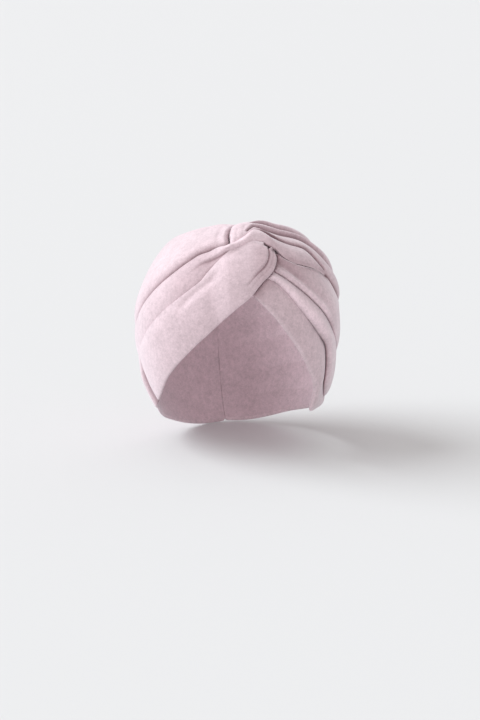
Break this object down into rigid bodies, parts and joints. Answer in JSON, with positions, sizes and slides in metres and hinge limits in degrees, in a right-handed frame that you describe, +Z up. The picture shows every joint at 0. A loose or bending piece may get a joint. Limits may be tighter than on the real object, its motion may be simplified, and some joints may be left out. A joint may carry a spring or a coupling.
{
  "type": "turban headband",
  "caption": "Wide pleated velvet turban headband in its worn form, open at the crown, with the halves crossing in a twist over the forehead.",
  "frame": {"origin": "middle of the head the headband is worn on, at the head's widest level", "axes": "+Z up through the crown, -Y forward through the twist, +X to the right of a viewer who faces the twist"},
  "size_m": [0.1697, 0.1814, 0.1832],
  "materials": {
    "velvet": "short-pile velvet, dusty lilac pink"
  },
  "bodies": {
    "root": {"left_band": "velvet", "right_band": "velvet"}
  },
  "joints": []
}
